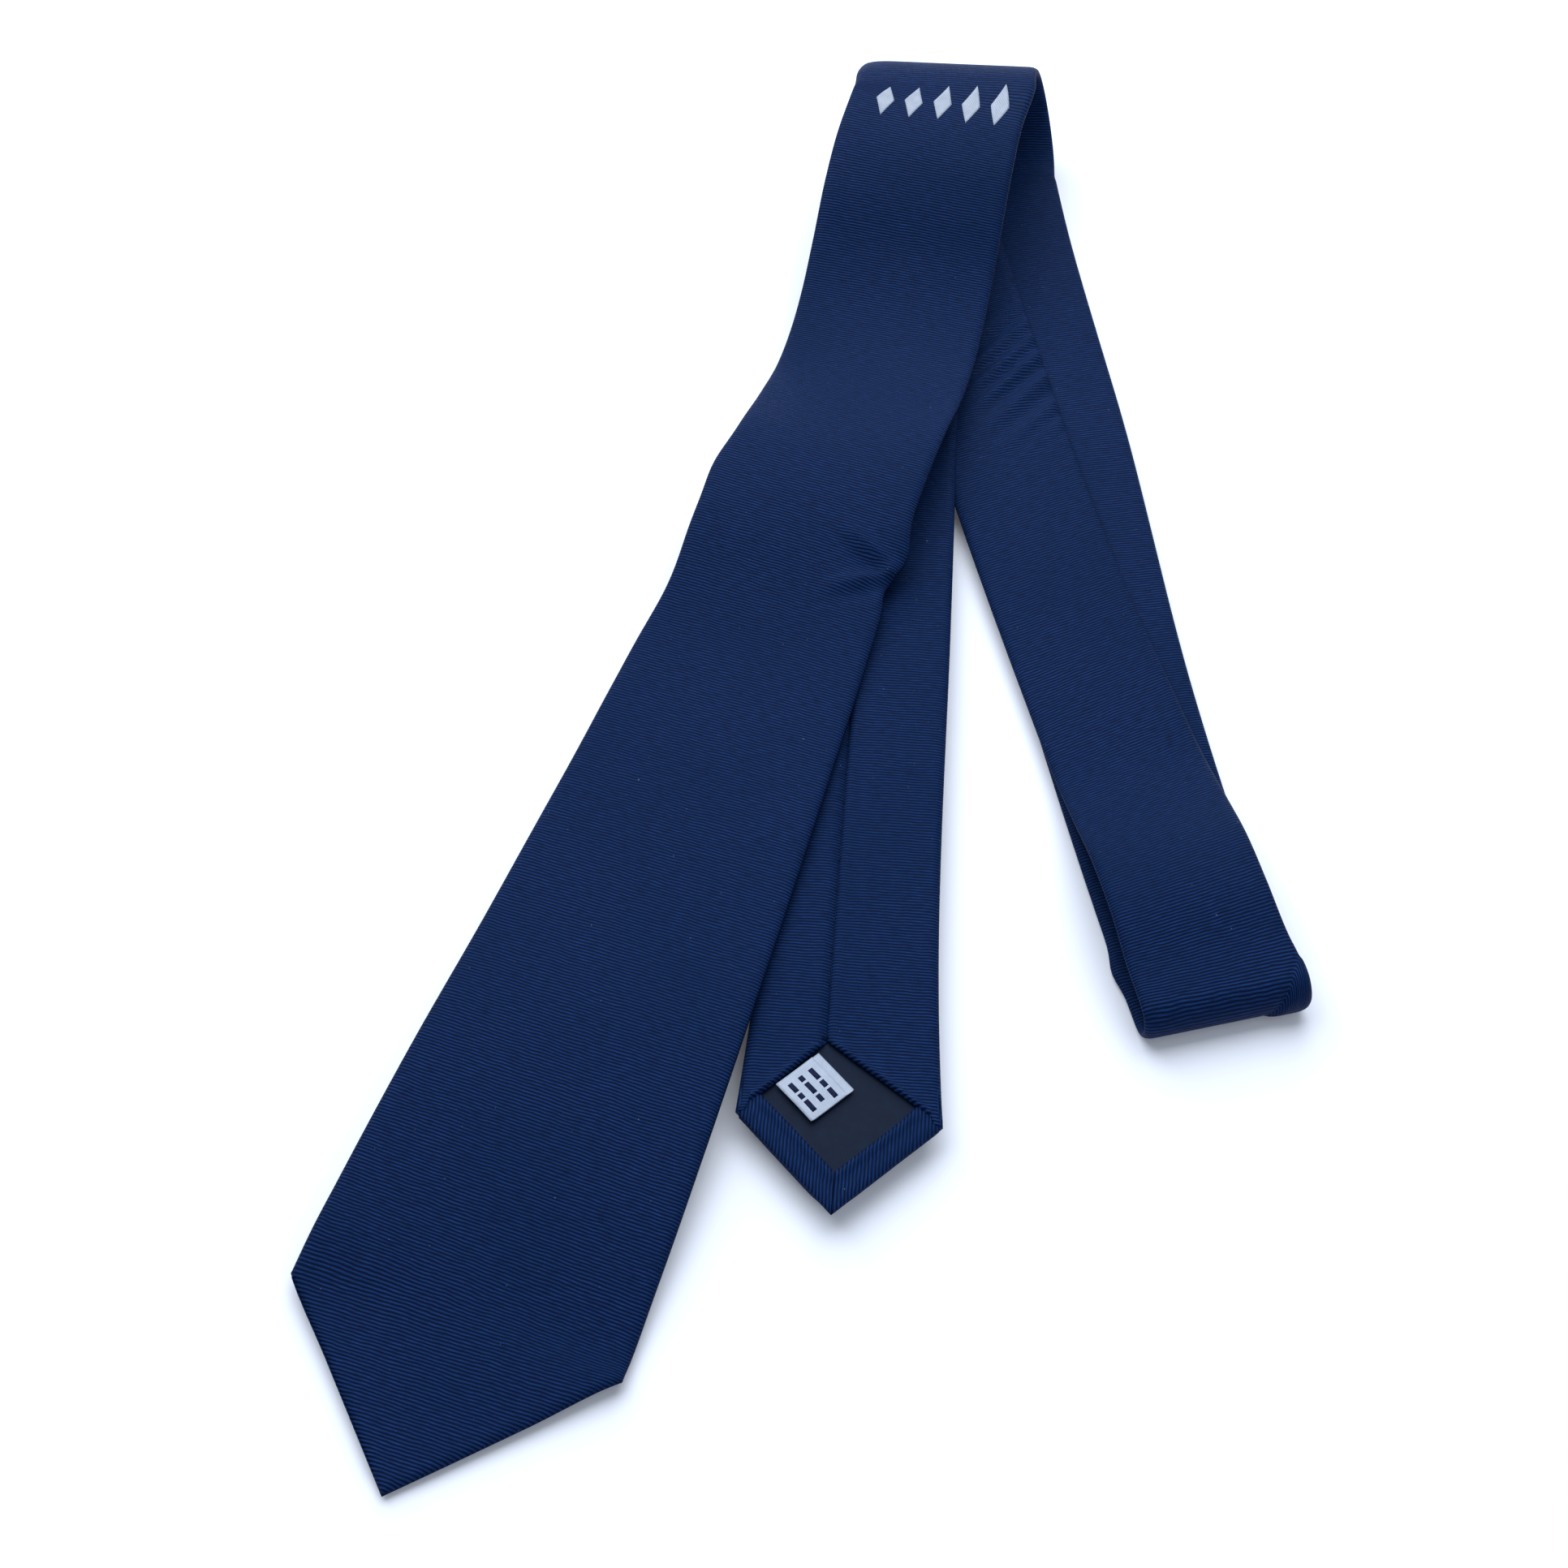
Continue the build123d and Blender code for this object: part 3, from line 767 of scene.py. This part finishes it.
class Nodes:
    """Short way to build a material out of nodes."""

    def __init__(self, name):
        self.material = bpy.data.materials.new(name)
        self.material.use_nodes = True
        self.tree = self.material.node_tree
        self.tree.nodes.clear()

    def feed(self, socket, value):
        """Links an output to a socket, or sets the socket's value."""
        if isinstance(value, bpy.types.NodeSocket):
            self.tree.links.new(value, socket)
        else:
            socket.default_value = value

    def add(self, kind, inputs=None, **settings):
        node = self.tree.nodes.new(kind)
        for key, value in settings.items():
            setattr(node, key, value)
        for key, value in (inputs or {}).items():
            self.feed(node.inputs[key], value)
        return node

    def math(self, operation, first, second=0.0):
        return self.add("ShaderNodeMath", {0: first, 1: second}, operation=operation).outputs[0]

    def mix(self, share, first, second):
        inputs = dict(zip(MIX_INPUTS, (share, first, second)))
        return self.add("ShaderNodeMix", inputs, data_type="RGBA").outputs[MIX_OUTPUT]

    def noise(self, vector, scale, detail=2.0):
        inputs = {"Vector": vector, "Scale": scale, "Detail": detail}
        return self.add("ShaderNodeTexNoise", inputs).outputs[0]

    def ramp(self, value, low, high):
        inputs = {"Value": value, "From Min": low, "From Max": high}
        return self.add("ShaderNodeMapRange", inputs).outputs[0]

    def cloth(self):
        """Across and along the cloth in millimetres, and both as a vector."""
        vector = self.add("ShaderNodeAttribute", attribute_name="cloth").outputs["Vector"]
        parts = self.add("ShaderNodeSeparateXYZ", {0: vector})
        return parts.outputs[0], parts.outputs[1], vector

    def stretched(self, x, y):
        return self.add("ShaderNodeCombineXYZ", {0: x, 1: y}).outputs[0]

    def finish(self, surface):
        self.add("ShaderNodeOutputMaterial", {"Surface": surface})
        return self.material


RIB_PITCH = 0.83
# rib tops are painted lighter, as if lit, and furrows near-black, as painted shade; the ribs themselves
# are real and also bumped
SILK_FURROW_SHADE = srgb(0, 3, 21)
SILK_RIB_LIT = srgb(27, 57, 112)
SILK_FADED = srgb(0, 24, 54)
LINT = srgb(120, 130, 150)


def silk_ribs(n):
    """Ribs across the strand, which drift a little, and the slubs that run along them."""
    across, along, vector = n.cloth()
    drift = n.math("MULTIPLY", n.noise(vector, 0.12), 0.9)
    phase = n.math("MULTIPLY", n.math("ADD", along, drift), 2 * math.pi / RIB_PITCH)
    rib = n.ramp(n.math("SINE", phase), -0.8, 0.8)
    slub_place = n.stretched(n.math("MULTIPLY", across, 0.35), n.math("MULTIPLY", along, 2.4))
    return rib, n.noise(slub_place, 1.0, 3.0), vector


def silk_colour(n, rib, slub, vector):
    """Real ribs with painted light on their tops and painted shade in their furrows, faded in soft
    patches, with a little lint.
    """
    speck = n.noise(vector, 2.6, 2.0)
    light = n.math("MULTIPLY", rib, n.ramp(slub, 0.1, 0.75))
    light = n.math("ADD", n.math("MULTIPLY", light, 0.85), n.math("MULTIPLY", speck, 0.15))
    # painted light on the rib tops and painted shade in the furrows
    rib_light_and_shade = n.mix(light, SILK_FURROW_SHADE, SILK_RIB_LIT)
    fade = n.ramp(n.noise(vector, 0.018, 2.0), 0.3, 0.7)
    worn = n.mix(n.math("MULTIPLY", fade, 0.35), rib_light_and_shade, SILK_FADED)
    lint = n.ramp(n.noise(vector, 0.9, 1.0), 0.78, 0.84)
    return n.mix(n.math("MULTIPLY", lint, 0.35), worn, LINT)


def silk_material():
    """Navy ottoman silk with a soft sheen."""
    n = Nodes("ribbed_silk")
    rib, slub, vector = silk_ribs(n)
    height = n.math("ADD", n.math("MULTIPLY", rib, 0.7), n.math("MULTIPLY", slub, 0.5))
    bumped = n.add("ShaderNodeBump", {"Strength": 0.8, "Distance": 0.0002, "Height": height})
    inputs = {
        "Base Color": silk_colour(n, rib, slub, vector),
        "Roughness": 0.55,
        "Specular IOR Level": 0.07,
        "Specular Tint": srgb(130, 170, 255),
        "Sheen Weight": 0.02,
        "Sheen Roughness": 0.4,
        "Sheen Tint": srgb(90, 130, 220),
        "Normal": bumped.outputs[0],
    }
    return n.finish(n.add("ShaderNodeBsdfPrincipled", inputs).outputs[0])


def woven_material(name, dark, light, pitch, roughness, sheen, shine=0.3):
    """A plain or satin cloth with a fine weave in two directions."""
    n = Nodes(name)
    across, along, vector = n.cloth()
    turns = 2 * math.pi / pitch
    warp = n.math("SINE", n.math("MULTIPLY", across, turns))
    weft = n.math("SINE", n.math("MULTIPLY", along, turns))
    weave = n.ramp(n.math("MULTIPLY", warp, weft), -1.0, 1.0)
    mottle = n.noise(vector, 0.4, 4.0)
    share = n.math("ADD", n.math("MULTIPLY", weave, 0.5), n.math("MULTIPLY", mottle, 0.5))
    colour = n.mix(share, dark, light)
    bumped = n.add("ShaderNodeBump", {"Strength": 0.3, "Distance": 0.0001, "Height": share})
    inputs = {
        "Base Color": colour,
        "Roughness": roughness,
        "Specular IOR Level": shine,
        "Sheen Weight": sheen,
        "Normal": bumped.outputs[0],
    }
    return n.finish(n.add("ShaderNodeBsdfPrincipled", inputs).outputs[0])


silk = silk_material()
padding_wool = woven_material("brushed_wool", srgb(176, 170, 156), srgb(222, 216, 202), 0.9, 0.95, 0.3)
black_lining = woven_material("black_satin", srgb(0, 8, 22), srgb(16, 34, 60), 0.3, 0.5, 0.02, 0.06)
navy_thread = woven_material("sewing_thread", srgb(3, 10, 30), srgb(16, 34, 72), 2.0, 0.7, 0.0, 0.1)
satin_ribbon = woven_material("satin_ribbon", srgb(120, 134, 156), srgb(176, 190, 212), 0.35, 0.4, 0.05)
white_print = woven_material("white_print", srgb(104, 118, 140), srgb(176, 188, 206), 0.8, 0.6, 0.0)


def dress(piece, material, node):
    """Gives a piece its material and hides the CAD node that it stands for."""
    piece.data.materials.append(material)
    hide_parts(node)
    return piece


def ride_piece(name, parts, material, node, body):
    """Makes a piece that stands for a CAD node and moves with one body."""
    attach(dress(piece_of(name, parts), material, node), body)


# ---- silk and padding along the path
FOLD_MARGIN = 12.0  # how far the bending pieces of the two open loops reach into the strands
INNER_MARGIN = 3.0  # and those of the flat inner fold
LEVEL_GAP = 0.1  # between a strand's face and the nearer of a fold's two levels
TOP_CUTS = (MARKS["top_start"] - FOLD_MARGIN, MARKS["top_end"] + FOLD_MARGIN)
NECK_CUTS = (MARKS["neck_start"] - FOLD_MARGIN, MARKS["neck_end"] + FOLD_MARGIN)
INNER_CUTS = (MARKS["inner_start"] - INNER_MARGIN, MARKS["inner_end"] + INNER_MARGIN)
RUNS = {
    "wide_blade": (0.0, TOP_CUTS[0]),
    "neck_run": (TOP_CUTS[1], NECK_CUTS[0]),
    "inner_run": (NECK_CUTS[1], INNER_CUTS[0]),
    "narrow_blade": (INNER_CUTS[1], path.length),
}
FOLDS = {
    "top_fold": (*TOP_CUTS, "wide_blade", "neck_run"),
    "neck_fold": (*NECK_CUTS, "neck_run", "inner_run"),
    "inner_fold": (*INNER_CUTS, "inner_run", "narrow_blade"),
}


def blade_hems(body):
    """Both hem sheets of a blade, or nothing for a run between folds."""
    if body == "wide_blade":
        return [hem(WIDE_CORNER, -1, WIDE_CORNER, WIDE_HEM, side) for side in (-1, 1)]
    if body == "narrow_blade":
        return [hem(NARROW_CORNER, 1, NARROW_POINT, NARROW_HEM, side) for side in (-1, 1)]
    return []


def blend_levels(fold, start, end):
    """Points at two heights between a fold's two strands."""
    first, second = place(np.array((start, end)), 0.0, 0.0)[:, 2]
    inset = HALF_STRAND + LEVEL_GAP
    if fold == "inner_fold":
        inset = abs(second - first) / 2 - LEVEL_GAP
    inset = math.copysign(inset, second - first)
    return [Vector((0, 0, height * METRES)) for height in (first + inset, second - inset)]


def dressed_layers(name, silk_parts, padding_part):
    """The silk and the padding of a stretch of the strip."""
    shell = dress(piece_of(f"{name}_silk", silk_parts), silk, f"{name}_shell")
    core = piece_of(f"{name}_padding", [padding_part])
    return shell, dress(core, padding_wool, f"{name}_interlining")


def build_run(body, start, end):
    """Silk and padding of a strand between folds."""
    silk_parts = [wrapped_silk(start, end), *blade_hems(body)]
    for piece in dressed_layers(body, silk_parts, padding(start, end)):
        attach(piece, body)


def build_fold(fold, start, end, first, second):
    """Silk and padding of a fold, baked where they lie and attached to neither body."""
    low, high = blend_levels(fold, start, end)
    for piece in dressed_layers(fold, [wrapped_silk(start, end)], padding(start, end)):
        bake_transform(piece)


def build_lining(body, corner_s, down, apex, half):
    sheets = [lining(corner_s, down, apex, half)]
    ride_piece(f"{body}_lining", sheets, black_lining, f"{body}_tipping", body)


for run_name, run_span in RUNS.items():
    build_run(run_name, *run_span)
for fold_name, fold_span in FOLDS.items():
    build_fold(fold_name, *fold_span)
build_lining("wide_blade", WIDE_CORNER, -1, WIDE_APEX, WIDE_CORNER)
build_lining("narrow_blade", NARROW_CORNER, 1, NARROW_APEX, NARROW_POINT)


# ---- finding places on the path
def locate(point, body):
    """Path coordinates (s, u) of a point over a strand."""
    start, end = RUNS[body]
    on_run = (path.s >= start) & (path.s <= end)
    gap = path.centre[on_run] - point
    nearest = path.s[on_run][np.hypot(gap[:, 0], gap[:, 1]).argmin()]
    offset = point - path.sample(path.centre, nearest)
    s = nearest + offset @ path.sample(path.tangent, nearest)
    return s, offset @ path.sample(path.across, nearest)


def groups(points, direction, gap=0.4):
    """Points split into groups wherever they leave a gap along a direction."""
    reach = points @ direction
    order = reach.argsort()
    breaks = np.flatnonzero(np.diff(reach[order]) > gap) + 1
    return np.split(points[order], breaks)


# ---- stitches
THREAD_RADIUS = 0.1
STITCH_PITCH = 9.0
STITCH_SIDE = 0.35
STITCH_DEPTHS = (0.12, 0.5)  # below the flaps' face, where the thread shows and where it hides
# Corners of one stitch: how far on from its start, to which side, and whether the thread hides.
STITCH = ((0.0, -1, 0), (1.0, 1, 0), (1.5, 0, 1), (STITCH_PITCH - 0.5, 0, 1))


def slip_stitch(start, end):
    """Loose thread in the back seam that shows as a short slanting stitch now and then."""
    points = []
    for begin in np.arange(start + 2.0, end - STITCH_PITCH, STITCH_PITCH):
        for onward, side, hidden in STITCH:
            s = begin + onward
            points.append((s, seam_at(s) + side * STITCH_SIDE, STITCH_DEPTHS[hidden] - FRONT))
    s, u, h = np.array(points).T
    return thread(place(s, u, h), THREAD_RADIUS)


def bar_tack(s_middle, breadth, length, count):
    """Dense zigzag of thread across the seam."""
    turns = np.arange(count)
    u = seam_at(s_middle) + np.linspace(-breadth / 2, breadth / 2, count)
    s = s_middle + np.where(turns % 2, length / 2, -length / 2)
    return thread(place(s, u, -(FRONT - THREAD_RADIUS)), THREAD_RADIUS)


TACK_BREADTH = 2.4
TACK_LENGTH = 1.0
TACK_TURNS = 40
WIDE_V_TOP = WIDE_CORNER + WIDE_APEX
NARROW_V_TOP = NARROW_CORNER - NARROW_APEX
SEAM_MARGIN = 1.0  # between the seam thread and the end of a strand


def build_seam_thread(body, start, end):
    """Seam thread of a strand, which stops at the top of a blade's V."""
    low = WIDE_V_TOP if body == "wide_blade" else start + SEAM_MARGIN
    high = NARROW_V_TOP if body == "narrow_blade" else end - SEAM_MARGIN
    stitches = [slip_stitch(low, high)]
    ride_piece(f"{body}_seam_thread", stitches, navy_thread, f"{body}_slip_stitch", body)


def build_tack(blade, s_middle):
    zigzag = [bar_tack(s_middle, TACK_BREADTH, TACK_LENGTH, TACK_TURNS)]
    body = f"{blade}_blade"
    ride_piece(f"{body}_tack", zigzag, navy_thread, f"{blade}_bar_tack", body)


for run_name, run_span in RUNS.items():
    build_seam_thread(run_name, *run_span)
build_tack("wide", WIDE_V_TOP + TACK_LENGTH)
build_tack("narrow", NARROW_V_TOP - TACK_LENGTH)


# ---- keeper loop
STRAP_CLEAR = 0.35  # between the strap's ends and the blade's back
STRAP_ARCH = 0.9
STRAP_TACK_TURNS = 22
STRAP_TACK_INSET = 0.6
STRAP_TACK_BREADTH = 0.7


def seat_on_blade(points):
    """Path place of a node's middle on the wide blade, and its half sizes along and across."""
    s_middle, u_middle = locate(points.mean(0), "wide_blade")
    half_length = np.ptp(points @ path.sample(path.tangent, s_middle)) / 2
    half_width = np.ptp(points @ path.sample(path.across, s_middle)) / 2
    return s_middle, u_middle, half_length, half_width


def keeper_strap(s_middle, u_middle, half_band, half_span):
    """Self-fabric strap across the wide blade's back, standing slightly off it."""
    u = np.linspace(-1, 1, 33)[None, :]
    s = np.linspace(-1, 1, 9)[:, None]
    arch = STRAP_CLEAR + STRAP_ARCH * (1 - u**4)
    depth = -(FRONT + arch * np.ones_like(s))
    spots = (s_middle + s * half_band, u_middle + u * half_span)
    cloth = np.stack(np.broadcast_arrays(s * half_band, u * half_span), axis=-1)
    return sheet(place(*spots, depth - CLOTH / 2), place(*spots, depth + CLOTH / 2), cloth)


def keeper_tack(s_middle, u_middle, half_band, half_span, side):
    """Zigzag of thread along one end of the strap."""
    zigzag = STRAP_TACK_BREADTH * (np.arange(STRAP_TACK_TURNS) % 2)
    s = s_middle + np.linspace(-half_band, half_band, STRAP_TACK_TURNS)
    u = u_middle + side * (half_span - STRAP_TACK_INSET + zigzag)
    return thread(place(s, u, -(FRONT + STRAP_CLEAR + CLOTH)), THREAD_RADIUS)


keeper_seat = seat_on_blade(node_points("keeper_loop")[0])
keeper_tacks = [keeper_tack(*keeper_seat, side) for side in (-1, 1)]
ride_piece("keeper_strap", [keeper_strap(*keeper_seat)], silk, "keeper_loop", "wide_blade")
ride_piece("keeper_tacks", keeper_tacks, navy_thread, "keeper_loop_stitches", "wide_blade")


# ---- printed motif
PRINT_RISE = 0.05
PRINT_SINK = 0.02


def lozenge(points):
    """One printed lozenge on the front of the wide blade, where the CAD one is."""
    s_middle, u_middle, half_length, half_width = seat_on_blade(points)
    a, b = np.meshgrid(np.linspace(0, 1, 9), np.linspace(0, 1, 9))
    u = u_middle + half_width * (a - b)
    s = s_middle + half_length * (a + b - 1)
    cloth = np.stack((u, s), axis=-1)
    return sheet(place(s, u, FRONT + PRINT_RISE), place(s, u, FRONT - PRINT_SINK), cloth)


motif_points, _ = node_points("printed_motif")
motif_s, _ = locate(motif_points.mean(0), "wide_blade")
motif_row = groups(motif_points, path.sample(path.across, motif_s))
lozenges = [lozenge(points) for points in motif_row]
ride_piece("print_lozenges", lozenges, white_print, "printed_motif", "wide_blade")


# ---- care label
RIBBON = 0.14
RIBBON_TUCK = 0.65  # how far the ribbon runs on under the flap, past its hinge
LEAF_SKEW = 2.0  # the lower leaf of the ribbon peeks out sideways
LEAF_BULGE = 0.25  # the upper leaf bulges in the middle of its length
LEAF_CURL = 0.1  # and curls up along its sides
DASH_ROWS = 3
DASH_LENGTHS = (2.8, 1.6, 3.4, 2.0)
DASH_START = 1.4
DASH_GAP = 0.7
DASH_HALF_WIDTH = 0.65
DASH_RISE = 0.03
DASH_THICKNESS = 0.05
LABEL_JOINT = next(joint for joint in frame["joints"] if joint["name"] == "label_flip")
HINGE_AT = np.array(LABEL_JOINT["pos_m"]) / METRES
HINGE_LINE = level(-np.array(LABEL_JOINT["axis"]))


def label_frame():
    """The label's way out from its hinge, its length, half-width and height above the lining."""
    points, _ = node_points("care_label")
    out = level(points.mean(0) - HINGE_AT)
    out = level(out - HINGE_LINE * (out @ HINGE_LINE))
    reach = (points - HINGE_AT) @ out
    return out, reach.max(), np.ptp(points @ HINGE_LINE) / 2, np.ptp(points[:, 2])


LABEL_OUT, LABEL_LENGTH, LABEL_HALF, LABEL_HEIGHT = label_frame()


def label_points(reach, across, up):
    """Points by the distance out from the hinge, along the hinge and above it."""
    return HINGE_AT + reach[..., None] * LABEL_OUT + across[..., None] * HINGE_LINE + up[..., None] * UP


def bulge(reach):
    return LEAF_BULGE * bump(reach, LABEL_LENGTH * 0.55, 4.0)


def curl(across):
    return LEAF_CURL * (across / LABEL_HALF) ** 2


def folded_ribbon():
    """Two leaves of satin ribbon joined by a fold at the free end."""
    radius = (LABEL_HEIGHT - RIBBON) / 2
    turns = np.linspace(-math.pi / 2, math.pi / 2, 9)
    leaf = np.linspace(-RIBBON_TUCK, LABEL_LENGTH - radius, 18)[:-1]
    level_leaf = np.ones(len(leaf))
    cosine = np.concatenate((0 * level_leaf, np.cos(turns), 0 * level_leaf))[:, None]
    sine = np.concatenate((-level_leaf, np.sin(turns), level_leaf))[:, None]
    bend = np.full(len(turns), LABEL_LENGTH - radius)
    reach = np.concatenate((leaf, bend, leaf[::-1]))[:, None] + radius * cosine
    across = np.linspace(-LABEL_HALF, LABEL_HALF, 15)[None, :]
    lift = LABEL_HEIGHT / 2 + np.where(sine > 0, bulge(reach), 0.0) + curl(across)
    shift = across + LEAF_SKEW * (1 - sine) / 2
    grids = []
    for offset in (RIBBON / 2, -RIBBON / 2):
        up = (radius + offset) * sine + lift
        grids.append(label_points(reach + offset * cosine, shift, up))
    cloth = np.stack(np.broadcast_arrays(across, reach), axis=-1)
    return sheet(*grids, cloth)


def woven_dash(begin, size, middle):
    """One plain dash on the upper leaf."""
    reach = np.linspace(begin, begin + size, 5)[:, None]
    across = np.linspace(middle - DASH_HALF_WIDTH, middle + DASH_HALF_WIDTH, 4)[None, :]
    top = label_points(reach, across, LABEL_HEIGHT + bulge(reach) + curl(across) + DASH_RISE)
    cloth = np.stack(np.broadcast_arrays(across, reach), axis=-1)
    return sheet(top, top - UP * DASH_THICKNESS, cloth)


def woven_dashes():
    """Plain dashes in rows on the upper leaf, in place of lettering."""
    dashes = []
    pitch = 2 * LABEL_HALF / (DASH_ROWS + 0.6)
    for row in range(DASH_ROWS):
        middle = (row - (DASH_ROWS - 1) / 2) * pitch
        begin = DASH_START
        for count in range(len(DASH_LENGTHS)):
            size = DASH_LENGTHS[(row + count) % len(DASH_LENGTHS)]
            if begin + size > LABEL_LENGTH - 1.0:
                break
            dashes.append(woven_dash(begin, size, middle))
            begin += size + DASH_GAP
    return dashes


ride_piece("ribbon_label", [folded_ribbon()], satin_ribbon, "care_label", "care_label")
label_dashes = piece_of("ribbon_label_dashes", woven_dashes())
label_dashes.data.materials.append(navy_thread)
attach(label_dashes, "care_label")


def label_stitches():
    """Short stitches behind the label's hinge, under the flap's edge."""
    points, _ = node_points("care_label_stitches")
    bars = []
    for bar in groups(points, HINGE_LINE):
        middle = (bar.min(0) + bar.max(0)) / 2
        half = np.ptp(bar @ HINGE_LINE) / 2
        steps = np.linspace(-half, half, 7)[:, None]
        bars.append(thread(middle + HINGE_LINE * steps, THREAD_RADIUS))
    return bars


ride_piece(
    "ribbon_label_stitches",
    label_stitches(),
    navy_thread,
    "care_label_stitches",
    "narrow_blade",
)


# ---- stage, camera and light
CAMERA_AT = (-0.080, -0.465, 0.5248)
CAMERA_TILT = 35.5  # degrees, back from looking straight down
CAMERA_VIEW = 35.0  # degrees
AIM = Vector((-0.05, -0.03, 0.0))  # middle of the folded tie

FLOOR_SIZE = 6.0
FLOOR_DROP = 0.0003  # just below the cloth
FLOOR_COLOUR = (0.76, 0.82, 0.94, 1.0)
FLOOR_GLOW = 0.06
SKY_COLOUR = (0.78, 0.88, 1.0, 1.0)
SKY_STRENGTH = 0.26


def plain_floor():
    """Pale floor that only darkens close to the cloth."""
    bpy.ops.mesh.primitive_plane_add(size=FLOOR_SIZE, location=(0, 0, -FLOOR_DROP))
    floor = bpy.context.object
    floor.name = "floor"
    n = Nodes("pale_floor")
    diffuse = n.add("ShaderNodeBsdfDiffuse", {"Color": FLOOR_COLOUR}).outputs[0]
    glow = n.add("ShaderNodeEmission", {"Strength": FLOOR_GLOW}).outputs[0]
    both = n.add("ShaderNodeAddShader", {0: diffuse, 1: glow}).outputs[0]
    floor.data.materials.append(n.finish(both))


def soft_light(name, location, size, power):
    """Square area light aimed at the tie."""
    data = bpy.data.lights.new(name, "AREA")
    data.size = size
    data.energy = power
    lamp = bpy.data.objects.new(name, data)
    lamp.location = location
    lamp.rotation_euler = (AIM - lamp.location).to_track_quat("-Z", "Y").to_euler()
    bpy.context.scene.collection.objects.link(lamp)


def camera():
    data = bpy.data.cameras.new("camera")
    data.angle = math.radians(CAMERA_VIEW)
    data.clip_start = 0.01
    eye = bpy.data.objects.new("camera", data)
    eye.location = CAMERA_AT
    eye.rotation_euler = (math.radians(CAMERA_TILT), 0, 0)
    bpy.context.scene.collection.objects.link(eye)
    bpy.context.scene.camera = eye


def studio():
    plain_floor()
    soft_light("key", (-0.25, 0.7, 1.1), 2.0, 41.0)
    soft_light("fill", (0.8, -0.7, 1.2), 1.6, 6.0)
    world = bpy.data.worlds.new("studio")
    world.use_nodes = True
    background = world.node_tree.nodes["Background"]
    background.inputs["Color"].default_value = SKY_COLOUR
    background.inputs["Strength"].default_value = SKY_STRENGTH
    bpy.context.scene.world = world
    bpy.context.scene.view_settings.view_transform = "Standard"


studio()
camera()
